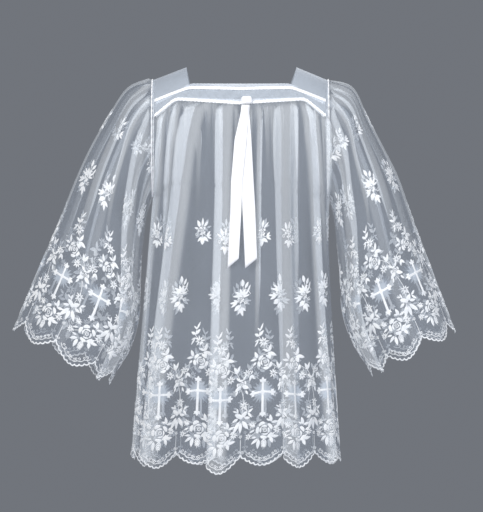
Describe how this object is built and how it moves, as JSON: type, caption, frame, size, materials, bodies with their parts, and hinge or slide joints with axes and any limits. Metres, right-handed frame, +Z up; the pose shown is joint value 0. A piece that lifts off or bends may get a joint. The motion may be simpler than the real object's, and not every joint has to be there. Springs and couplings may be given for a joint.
{
  "type": "surplice",
  "caption": "Lace vestment with a square neck, wide bell sleeves, a gathered body, scalloped hems and a ribbon tie, standing open as worn.",
  "frame": {"origin": "middle of the shoulders, level with the top of the neck opening, where the wearer holds the garment up", "axes": "+Z up, the front faces -Y, +X towards the viewer's right, which is the wearer's left"},
  "size_m": [1.0155, 0.3564, 0.9228],
  "materials": {
    "lace_net": "sheer white net with a soft cool sheen",
    "plain_net": "sheer white net, smooth",
    "embroidery": "raised white satin stitch",
    "bias_tape": "white woven tape, matte",
    "satin_ribbon": "white satin with a soft gloss"
  },
  "bodies": {
    "root": {"body_front": "lace_net", "body_back": "lace_net", "sleeve_left": "lace_net", "sleeve_right": "lace_net", "yoke_front": "plain_net", "yoke_back": "plain_net", "shoulder_left": "plain_net", "shoulder_right": "plain_net", "neck_tape_front": "bias_tape", "neck_tape_back": "bias_tape", "gather_tape_front": "bias_tape", "gather_tape_back": "bias_tape", "ribbon_knot": "satin_ribbon", "ribbon_tail_left": "satin_ribbon", "ribbon_tail_right": "satin_ribbon"}
  },
  "joints": []
}
